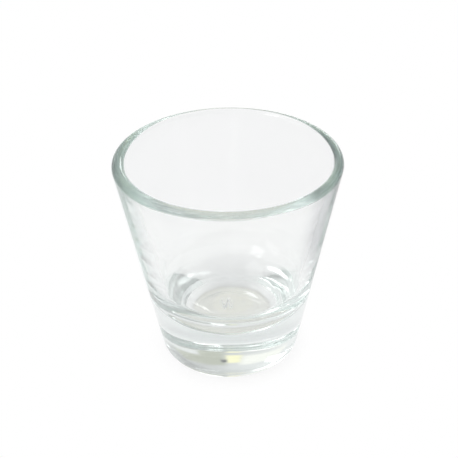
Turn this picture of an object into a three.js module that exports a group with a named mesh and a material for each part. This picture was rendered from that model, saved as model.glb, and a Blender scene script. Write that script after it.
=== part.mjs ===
// Verrine glass: a small flared serving glass, pressed in one piece from clear soda-lime glass.
// Millimetres, +Z up, origin on the table plane at the centre of the foot.
import * as THREE from "three";

// Driving dimensions
const HEIGHT = 60; // table plane to the top of the lip
const RIM_DIAMETER = 60; // outside, where the lip is widest
const FOOT_DIAMETER = 38.2; // outside, where the straight wall would meet the table plane
const HEEL_RADIUS = 3.5; // rounding between the wall and the underside
const LIP_THICKNESS = 2.9; // fire-polished to a full round
const WALL_AT_FLOOR = 4.2; // across the wall, where the straight side of the cavity would meet its floor
const FLOOR_THICKNESS = 13.4; // table plane to the cavity floor
const FLOOR_CORNER_RADIUS = 16.5; // bowl-like rounding between the side of the cavity and its floor
const BEARING_WIDTH = 1.2; // flat ring that the glass stands on
const PUNT_DEPTH = 1; // hollow pressed into the underside, on the axis

// Facets
const SEGMENTS = 72; // around the axis
const CHORD_GAP = 0.02; // most that a facet may stand off a round stretch of the section

// Angle of the direction from one point to another, measured from the outward radial direction.
function heading(from, to) {
  return Math.atan2(to.y - from.y, to.x - from.x);
}

// Point where a line from outside a circle touches it; side is -1 for the outer touch and 1 for the inner.
function tangentPoint(from, centre, radius, side) {
  const reach = from.distanceTo(centre);
  const angle = heading(from, centre) + side * Math.asin(radius / reach);
  const length = Math.sqrt(reach ** 2 - radius ** 2);
  return new THREE.Vector2(Math.cos(angle), Math.sin(angle)).multiplyScalar(length).add(from);
}

// Points of an arc about a centre, both ends included; turn is 1 where the glass bulges and -1 where it is hollow.
function arc(centre, start, end, turn) {
  const first = heading(centre, start);
  const sweep = THREE.MathUtils.euclideanModulo(turn * (heading(centre, end) - first), 2 * Math.PI);
  const radius = centre.distanceTo(start);
  const facets = Math.ceil(sweep / (2 * Math.acos(1 - CHORD_GAP / radius)));
  return Array.from({ length: facets + 1 }, (_, i) => {
    const angle = first + (turn * sweep * i) / facets;
    return new THREE.Vector2(Math.cos(angle), Math.sin(angle)).multiplyScalar(radius).add(centre);
  });
}

// Points of the arc that rounds the corner between two straight stretches and is tangent to both.
function roundedCorner(from, corner, to, radius) {
  const back = from.clone().sub(corner).normalize();
  const ahead = to.clone().sub(corner).normalize();
  const half = back.angleTo(ahead) / 2;
  const setback = radius / Math.tan(half);
  const start = back.clone().multiplyScalar(setback).add(corner);
  const end = ahead.clone().multiplyScalar(setback).add(corner);
  const centre = back.clone().add(ahead).setLength(radius / Math.sin(half)).add(corner);
  return arc(centre, start, end, Math.sign(ahead.cross(back)));
}

// Half section: from the axis under the foot, up the outside, over the lip and down the cavity to the axis.
// x is the distance from the axis and y is the height.
function halfSection() {
  const lipRadius = LIP_THICKNESS / 2;
  const lipCentre = new THREE.Vector2(RIM_DIAMETER / 2 - lipRadius, HEIGHT - lipRadius);

  const footCentre = new THREE.Vector2(0, 0);
  const footCorner = new THREE.Vector2(FOOT_DIAMETER / 2, 0);
  const wallTop = tangentPoint(footCorner, lipCentre, lipRadius, -1);
  const heel = roundedCorner(footCentre, footCorner, wallTop, HEEL_RADIUS);

  const bearingEdge = new THREE.Vector2(heel[0].x - BEARING_WIDTH, 0);
  const puntTop = new THREE.Vector2(0, PUNT_DEPTH);
  const puntRadius = bearingEdge.distanceToSquared(puntTop) / (2 * PUNT_DEPTH);
  const punt = arc(new THREE.Vector2(0, PUNT_DEPTH - puntRadius), puntTop, bearingEdge, -1);

  const floorCentre = new THREE.Vector2(0, FLOOR_THICKNESS);
  const outsideAtFloor = footCorner.clone().lerp(wallTop, FLOOR_THICKNESS / wallTop.y);
  const floorCorner = new THREE.Vector2(outsideAtFloor.x - WALL_AT_FLOOR, FLOOR_THICKNESS);
  const cavityTop = tangentPoint(floorCorner, lipCentre, lipRadius, 1);
  const lip = arc(lipCentre, wallTop, cavityTop, 1);
  const floorEdge = roundedCorner(cavityTop, floorCorner, floorCentre, FLOOR_CORNER_RADIUS);

  return [...punt, ...heel, ...lip, ...floorEdge, floorCentre];
}

const glassBody = new THREE.Mesh(
  new THREE.LatheGeometry(halfSection(), SEGMENTS),
  new THREE.MeshStandardMaterial({ color: 0xeef3ef, roughness: 0.03, metalness: 0, transparent: true, opacity: 0.3 }),
);
glassBody.name = "glass_body";
glassBody.rotation.x = Math.PI / 2; // the section is turned about +Y, and the glass stands along +Z

const verrine = new THREE.Group();
verrine.add(glassBody);

export default verrine;
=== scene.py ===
import math

import bpy
import numpy as np
from mathutils import Matrix, Vector


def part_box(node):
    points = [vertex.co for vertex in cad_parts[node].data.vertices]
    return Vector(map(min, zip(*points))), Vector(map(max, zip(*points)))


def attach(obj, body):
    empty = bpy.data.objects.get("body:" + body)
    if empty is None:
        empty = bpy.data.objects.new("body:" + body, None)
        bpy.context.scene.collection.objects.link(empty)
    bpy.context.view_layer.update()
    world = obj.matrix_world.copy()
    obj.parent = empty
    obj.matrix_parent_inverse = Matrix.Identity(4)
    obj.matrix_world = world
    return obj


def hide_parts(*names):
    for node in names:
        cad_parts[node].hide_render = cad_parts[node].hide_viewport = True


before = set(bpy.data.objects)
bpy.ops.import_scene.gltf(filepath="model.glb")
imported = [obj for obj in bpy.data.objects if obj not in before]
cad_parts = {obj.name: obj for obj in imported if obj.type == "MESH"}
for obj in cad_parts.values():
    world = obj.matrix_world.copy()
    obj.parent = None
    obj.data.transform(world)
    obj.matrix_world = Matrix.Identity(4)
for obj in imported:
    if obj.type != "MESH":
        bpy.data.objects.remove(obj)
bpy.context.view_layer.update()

# The glass: one gob of clear soda-lime glass, pressed between a mould and a plunger and fire-polished,
# so that the lip is a full round and no edge is sharp. It stands on a narrow ring around the shallow
# hollow of its underside, and a thick base carries the bowl-bottomed cavity. Sizes are in metres.
glass_low, glass_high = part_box("glass_body")
height = glass_high.z - glass_low.z
rim_radius = (glass_high.x - glass_low.x) / 2
foot_radius = 0.0191
heel_radius = 0.0035
lip_thickness = 0.0029
wall_at_floor = 0.0042
floor_thickness = 0.0134
floor_corner_radius = 0.0165
bearing_width = 0.0012
punt_depth = 0.001
plunger_shift = (0.00035, 0.00015)
row_counts = {"punt": 20, "ring": 3, "heel": 18, "wall": 16, "lip": 48, "side": 24, "bowl": 40, "floor": 24}
columns = 480


def arc(centre, radius, start, end, count):
    """Points at equal angles on the circle about a centre, from the start angle to the end angle."""
    angle = np.linspace(start, end, count)
    return np.stack([centre[0] + radius * np.cos(angle), centre[1] + radius * np.sin(angle)], axis=1)


def between(start, end, count):
    """Evenly spaced points on the straight line from start to end, without its ends."""
    share = np.linspace(0, 1, count + 2)[1:-1, None]
    return start * (1 - share) + end * share


def half_section():
    """Rows of (distance from the axis, height), from the axis under the foot, up the outside, over the lip
    and down the cavity to the axis, with each row's share of the plunger's side: 0 outside and 1 in the
    cavity. Straight stretches are tangent to the arcs: a straight line at angle a from level meets a level
    one in an arc of radius r, which starts r * tan(a / 2) from their corner."""
    quarter_turn = math.pi / 2
    lip_radius = lip_thickness / 2
    lip_centre = np.array([rim_radius - lip_radius, height - lip_radius])

    to_lip = lip_centre - (foot_radius, 0)
    wall_angle = math.atan2(to_lip[1], to_lip[0]) - math.asin(lip_radius / np.hypot(*to_lip))
    wall_facing = wall_angle - quarter_turn
    heel_start = foot_radius - heel_radius * math.tan(wall_angle / 2)
    heel = arc((heel_start, heel_radius), heel_radius, -quarter_turn, wall_facing, row_counts["heel"])

    bearing_edge = heel_start - bearing_width
    punt_radius = (bearing_edge**2 + punt_depth**2) / (2 * punt_depth)
    punt_end = quarter_turn - math.asin(bearing_edge / punt_radius)
    punt_centre = (0, punt_depth - punt_radius)
    punt = arc(punt_centre, punt_radius, quarter_turn, punt_end, row_counts["punt"])

    wall_at_floor_radius = foot_radius + floor_thickness / math.tan(wall_angle)
    floor_corner = np.array([wall_at_floor_radius - wall_at_floor, floor_thickness])
    to_lip = lip_centre - floor_corner
    side_angle = math.atan2(to_lip[1], to_lip[0]) + math.asin(lip_radius / np.hypot(*to_lip))
    lip = arc(lip_centre, lip_radius, wall_facing, side_angle + quarter_turn, row_counts["lip"])
    bowl_start = floor_corner[0] - floor_corner_radius * math.tan(side_angle / 2)
    bowl_centre = (bowl_start, floor_thickness + floor_corner_radius)
    side_facing = side_angle - quarter_turn
    bowl = arc(bowl_centre, floor_corner_radius, side_facing, -quarter_turn, row_counts["bowl"])

    ring = between(punt[-1], heel[0], row_counts["ring"])
    wall = between(heel[-1], lip[0], row_counts["wall"])
    side = between(lip[-1], bowl[0], row_counts["side"])
    floor_middle = np.array([0, floor_thickness])
    floor = between(bowl[-1], floor_middle, row_counts["floor"])
    mould_side = [punt, ring, heel, wall]
    plunger_side = [side, bowl, floor, [floor_middle]]
    rows = np.concatenate([*mould_side, lip, *plunger_side])
    ease = np.linspace(0, 1, len(lip))
    share = np.concatenate([
        np.zeros(sum(map(len, mould_side))),
        ease**2 * (3 - 2 * ease),
        np.ones(sum(map(len, plunger_side))),
    ])
    return rows, share


def press_waves(azimuth, along):
    """Mean of a few cosines around the axis and along the section, whose phases and lengthwise counts step
    on by the golden ratio so that no two line up: the slow unevenness that the cooling glass takes on
    against cold metal."""
    golden_ratio = 0.618
    wave_count = 6
    order = np.arange(wave_count)[:, None, None]
    phase = 2 * math.pi * golden_ratio * order**2
    waves_around = 3 + 2 * order
    waves_per_metre = 40 + 55 * (golden_ratio * order % 1)
    return np.cos(waves_around * azimuth + phase + 2 * math.pi * waves_per_metre * along).mean(axis=0)


def shear_mark(x, y):
    """Height of a short winding crease: a Gaussian ridge across a sine, faded at both ends. The shears that
    cut the gob leave it, and it ends up near the middle of the cavity floor."""
    centre = (-0.0012, -0.0003)
    half_length = 0.0015
    width = 0.00028
    ridge = 0.00035
    sway = 0.0015
    wavelength = 0.0019
    turns = 2 * math.pi / wavelength
    along = x - centre[0]
    lean = sway * turns * np.cos(turns * along)
    across = (y - centre[1] - sway * np.sin(turns * along)) / np.sqrt(1 + lean**2)
    fade = np.exp(-((along / half_length) ** 4))
    return ridge * fade * np.exp(-((across / width) ** 2))


def glass_points():
    """The half section carried around the axis, a column for each azimuth. It is pushed along its normal by
    the press waves, which are slight at the lip and die out towards the axis and the foot. The plunger's
    side is shifted off the axis, and the shear mark is added to the cavity floor."""
    rows, share = half_section()
    from_axis, above_foot = rows.T
    tangent = np.gradient(rows, axis=0)
    normal = np.stack([tangent[:, 1], -tangent[:, 0]], axis=1) / np.hypot(*tangent.T)[:, None]
    along = np.concatenate([[0], np.cumsum(np.hypot(*np.diff(rows, axis=0).T))])
    azimuth = np.linspace(0, 2 * math.pi, columns, endpoint=False)[None, :]

    calm_radius = 0.008
    calm_height = 0.75 * height
    cavity_reach = 0.35 * height
    base_reach = 0.03
    wave_everywhere = 0.00001
    wave_on_base = 0.00003
    wave_in_cavity = 0.000035
    in_cavity = share * np.clip((calm_height - above_foot) / cavity_reach, 0, 1)
    on_base = (1 - share) * np.clip(1 - above_foot / base_reach, 0, 1)
    die_out = np.clip(from_axis / calm_radius, 0, 1) * np.clip(above_foot / heel_radius, 0, 1)
    wave_height = (wave_everywhere + wave_on_base * on_base + wave_in_cavity * in_cavity) * die_out
    push = wave_height[:, None] * press_waves(azimuth, along[:, None])

    radius = rows[:, :1] + push * normal[:, :1]
    x = radius * np.cos(azimuth) + share[:, None] * plunger_shift[0]
    y = radius * np.sin(azimuth) + share[:, None] * plunger_shift[1]
    z = rows[:, 1:] + push * normal[:, 1:]
    on_floor = share * (from_axis < calm_radius)
    z = z + on_floor[:, None] * shear_mark(x, y)
    return np.stack([x, y, z], axis=-1)


def closed_mesh(name, points):
    """Mesh of a grid of rows that closes around its columns, with its first and last rows drawn in to one
    point each: quads between the rows, and a fan of triangles at each of these poles."""
    row_count = len(points) - 2
    rings = points[1:-1].reshape(-1, 3)
    vertices = np.concatenate([rings, points[0, :1], points[-1, :1]])
    column = np.arange(columns)
    following = (column + 1) % columns
    row = np.arange(row_count - 1)[:, None] * columns
    next_row = row + columns
    corners = [row + column, row + following, next_row + following, next_row + column]
    quads = np.stack(corners, axis=-1).reshape(-1, 4)
    last_row = (row_count - 1) * columns
    first_pole = np.full(columns, len(rings))
    first_fan = np.stack([first_pole, following, column], axis=1)
    last_fan = np.stack([first_pole + 1, last_row + column, last_row + following], axis=1)
    faces = quads.tolist() + first_fan.tolist() + last_fan.tolist()
    mesh = bpy.data.meshes.new(name)
    mesh.from_pydata(vertices.tolist(), [], faces)
    mesh.polygons.foreach_set("use_smooth", np.ones(len(faces), dtype=bool))
    mesh.update()
    return mesh


class Wire:
    """One output of a node tree. Arithmetic on it adds Math nodes, and add() brings in any other node."""

    def __init__(self, tree, socket=None):
        self.tree = tree
        self.socket = socket

    def add(self, kind, settings=None, inputs=None, output=0):
        """A new node: its settings first, then a value or a wire for each named or numbered socket."""
        node = self.tree.nodes.new("ShaderNode" + kind)
        for name, value in (settings or {}).items():
            setattr(node, name, value)
        for key, value in (inputs or {}).items():
            if isinstance(value, Wire):
                self.tree.links.new(value.socket, node.inputs[key])
            else:
                node.inputs[key].default_value = value
        return Wire(self.tree, node.outputs[output] if node.outputs else None)

    def other(self, output):
        """Another output of the same node."""
        return Wire(self.tree, self.socket.node.outputs[output])

    def maths(self, operation, *values):
        return self.add("Math", {"operation": operation}, dict(enumerate(values)))

    def __add__(self, value):
        return self.maths("ADD", self, value)

    def __sub__(self, value):
        return self.maths("SUBTRACT", self, value)

    def __rsub__(self, value):
        return self.maths("SUBTRACT", value, self)

    def __mul__(self, value):
        return self.maths("MULTIPLY", self, value)

    def __pow__(self, value):
        return self.maths("POWER", self, value)

    __radd__ = __add__
    __rmul__ = __mul__

    def fade(self, full, none):
        """1 up to the value full, falling smoothly to 0 at the value none."""
        ends = {0: self, 1: none, 2: full}
        return self.add("MapRange", {"interpolation_type": "SMOOTHSTEP"}, ends)

    def blend(self, colour, other):
        """Mix of two colours, with this wire as the share of the other one."""
        return self.add("Mix", {"data_type": "RGBA"}, {0: self, 6: colour, 7: other}, output=2)


def empty_tree(owner):
    """The node tree of a material or world, with no nodes in it."""
    owner.use_nodes = True
    owner.node_tree.nodes.clear()
    return Wire(owner.node_tree)


white = (1.0, 1.0, 1.0, 1.0)


def clear_glass():
    """Clear glass with a faint green that only shows where light travels far in it, a barely uneven polish,
    thin smears that hands and washing leave, and a lip that is a little less clear than the walls."""
    polish = 0.01
    smear_haze = 0.04
    lip_haze = 0.06
    smear_colour = (0.985, 0.99, 0.985, 1.0)
    glass_green = (0.77, 0.85, 0.83, 1.0)
    material = bpy.data.materials.new("clear_glass")
    tree = empty_tree(material)
    place = tree.add("TexCoord", output="Object")
    smears = tree.add("TexNoise", None, {"Vector": place, "Scale": 120.0, "Detail": 3.0, "Distortion": 1.5})
    ripple = tree.add("TexNoise", None, {"Vector": place, "Scale": 260.0, "Detail": 1.0})
    below_top = height - tree.add("SeparateXYZ", None, {0: place}).other("Z")
    at_lip = below_top.fade(lip_thickness, 2 * lip_thickness)
    surface = tree.add("BsdfPrincipled", None, {
        "Base Color": smears.blend(white, smear_colour),
        "Roughness": polish + smear_haze * smears + lip_haze * at_lip,
        "IOR": 1.52,
        "Transmission Weight": 1.0,
        "Normal": tree.add("Bump", None, {"Strength": 0.06, "Distance": 0.0002, "Height": ripple}),
    })
    tint = tree.add("VolumeAbsorption", None, {"Color": glass_green, "Density": 13.0})
    tree.add("OutputMaterial", None, {"Surface": surface, "Volume": tint})
    return material


glass = bpy.data.objects.new("pressed_glass", closed_mesh("pressed_glass", glass_points()))
glass.data.materials.append(clear_glass())
bpy.context.scene.collection.objects.link(glass)
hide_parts("glass_body")
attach(glass, "root")

# The floor: a wide sheet of matt white paper laid on the table. It is plain white where the camera sees
# it, with a painted shadow under and close around the foot, and painted shade through the glass.
floor_half = 4.0
floor_gap = 0.00005
floor_edge = floor_half * np.array([[-1, -1], [1, -1], [1, 1], [-1, 1]])
floor_points = np.column_stack([floor_edge, np.full(4, glass_low.z - floor_gap)])


def white_paper():
    """Matt paper that glows white where it is seen, less a painted shadow: the hollow under the foot, in a
    warm tint, with a painted dark line where the ring touches, and the ground close around it. Seen through
    the glass it also loses white to painted shade: in the distance, right behind the foot and on the right."""
    line_inside = 0.77 * foot_radius
    line_middle = 0.8 * foot_radius
    line_outside = 0.86 * foot_radius
    contact_inside = 0.9 * foot_radius
    contact_outside = 1.25 * foot_radius
    # How much white each painted shadow, and each painted shade that only the glass shows, takes away.
    hollow_shadow = 0.12
    line_shadow = 0.2
    contact_shadow = 0.1
    far_shade = 0.32
    near_shade = 0.14
    shade_on_right = 0.9
    shade_behind = 0.33
    paper_colour = (0.88, 0.88, 0.91, 1.0)
    hollow_shadow_tint = (1.0, 0.99, 0.93, 1.0)
    material = bpy.data.materials.new("white_paper")
    tree = empty_tree(material)
    x = tree.add("SeparateXYZ", None, {0: tree.add("TexCoord", output="Object")})
    y = x.other("Y")

    def distance(right, behind):
        """How far a spot of the paper is from the point this far right of the axis and behind it."""
        return ((x - right) ** 2 + (y - behind) ** 2) ** 0.5

    # Painted shadow: in the hollow under the foot, a dark line at the ring's edge, and close around the
    # foot.
    from_axis = distance(0, 0)
    from_hollow = distance(0, 0.0015)
    in_hollow = from_hollow.fade(line_middle, line_outside)
    on_line = in_hollow * (1 - from_hollow.fade(line_inside, line_middle))
    near_foot = from_axis.fade(contact_inside, contact_outside)
    shadow = hollow_shadow * in_hollow + contact_shadow * near_foot + line_shadow * on_line

    # Painted shade that only the glass shows: more in the distance, behind the foot and in a patch on the
    # right.
    near_glass = from_axis.fade(0.05, 0.09)
    on_right = distance(0.07, 0.03).fade(0.018, 0.042)
    behind_foot = distance(0, 0.021).fade(0.004, 0.016) * (1 - in_hollow)
    shade = far_shade - (far_shade - near_shade) * near_glass
    shade = shade + shade_on_right * on_right + shade_behind * behind_foot

    direct = tree.add("LightPath", output="Is Camera Ray")
    in_glass = direct.maths("MAXIMUM", direct.other("Is Glossy Ray"), direct.other("Is Transmission Ray"))
    seen = direct.maths("MAXIMUM", direct - shadow, in_glass * (1 - shade) - shadow)
    paper = tree.add("BsdfDiffuse", None, {"Color": paper_colour})
    # The glow in the hollow, under its painted shadow, is tinted a little warm.
    glow = tree.add("Emission", None, {"Color": in_hollow.blend(white, hollow_shadow_tint)})
    surface = tree.add("MixShader", None, {0: seen, 1: paper, 2: glow})
    tree.add("OutputMaterial", None, {"Surface": surface})
    return material


floor_mesh = bpy.data.meshes.new("paper_floor")
floor_mesh.from_pydata(floor_points.tolist(), [], [[0, 1, 2, 3]])
floor_mesh.materials.append(white_paper())
paper_floor = bpy.data.objects.new("paper_floor", floor_mesh)
bpy.context.scene.collection.objects.link(paper_floor)

# The studio: a pale room, brighter on the left, with windows there, a small one behind and a pale ceiling
# in front. Grey cloth on the right, cards behind and a dark flag in front give clear glass its lines. The
# camera itself sees only white.
studio = bpy.data.worlds.new("studio")
bpy.context.scene.world = studio
sky = empty_tree(studio)
sky_x = sky.add("SeparateXYZ", None, {0: sky.add("TexCoord", output="Generated")})
sky_y = sky_x.other("Y")
sky_z = sky_x.other("Z")
elevation = sky_z.maths("ARCSINE", sky_z)


def panel(azimuth, middle, width, tall, edge):
    """Where a soft-edged panel shows in the sky: 1 inside, 0 outside. Azimuth runs from +Y towards +X, and
    the middle is its elevation, all in degrees."""
    turn = math.radians(azimuth)
    aside = sky_x * math.cos(turn) - sky_y * math.sin(turn)
    ahead = sky_x * math.sin(turn) + sky_y * math.cos(turn)
    swing = aside.maths("ABSOLUTE", aside.maths("ARCTAN2", aside, ahead))
    rise = elevation.maths("ABSOLUTE", elevation - math.radians(middle))
    across = swing.fade(math.radians(width / 2), math.radians(width / 2 + edge))
    upright = rise.fade(math.radians(tall / 2), math.radians(tall / 2 + edge))
    return across * upright


def grey(level):
    return (level, level, level, 1.0)


room_level = 0.52
loss_to_right = 0.36
gain_behind = 0.12
gain_overhead = 0.26
light = room_level - loss_to_right * sky_x + gain_behind * sky_y + gain_overhead * sky_z

# A panel's place is its azimuth, middle, width, height and soft edge. Later panels cover earlier ones.
panels = {
    "flag in front": ((155, 8, 36, 12, 10), grey(0.1)),
    "ceiling in front": ((205, 42, 46, 26, 14), grey(1.0)),
    "cloth on the right": ((85, 32, 60, 12, 10), grey(0.62)),
    "olive card behind": ((24, 38, 34, 22, 8), (0.6, 0.61, 0.53, 1.0)),
    "pale card behind": ((334, 42, 30, 14, 8), (1.12, 1.1, 1.04, 1.0)),
    "yellow card behind": ((358, 38, 5, 14, 4), (1.15, 1.1, 0.75, 1.0)),
    "clip beside it": ((4, 42, 1, 4, 3), grey(0.25)),
    "skylight": ((265, 62, 44, 14, 8), grey(2.1)),
    "pale strip behind": ((52, 28, 60, 6, 5), grey(0.9)),
    "window behind": ((13, 18, 12, 8, 3), grey(5.0)),
    "low window": ((258, 10, 24, 14, 4), grey(2.0)),
    "high window": ((236, 36, 20, 14, 4), grey(4.0)),
}
for place, colour in panels.values():
    light = panel(*place).blend(light, colour)
at_horizon = elevation.fade(math.radians(4), math.radians(9))
light = at_horizon.blend(light, grey(0.95))

direct = sky.add("LightPath", output="Is Camera Ray")
backdrop = sky.add("Background", None, {"Color": direct.blend(light, white)})
sky.add("OutputWorld", None, {"Surface": backdrop})

# The camera: it looks down on the glass from in front, at the angle and distance of the picture, and is
# turned slightly about its own axis. Light may cross many walls of glass before a path ends.
image_size = 458
sensor_width = 36.0
focal_pixels = 925
view_target = Vector((0.0001, 0, 0.0374))
view_distance = 0.251
view_elevation = math.radians(32.4)
view_roll = math.radians(-0.8)
glass_crossings = 40

camera_data = bpy.data.cameras.new("camera")
camera_data.sensor_width = sensor_width
camera_data.lens = focal_pixels / image_size * sensor_width
camera_data.clip_start = 0.01
camera = bpy.data.objects.new("camera", camera_data)
tilt = Matrix.Rotation(math.pi / 2 - view_elevation, 4, "X") @ Matrix.Rotation(view_roll, 4, "Z")
camera.matrix_world = Matrix.Translation(view_target) @ tilt @ Matrix.Translation((0, 0, view_distance))
bpy.context.scene.collection.objects.link(camera)

scene = bpy.context.scene
scene.camera = camera
scene.view_settings.view_transform = "Standard"
scene.cycles.max_bounces = glass_crossings
scene.cycles.transmission_bounces = glass_crossings
scene.cycles.glossy_bounces = glass_crossings
scene.cycles.use_denoising = True
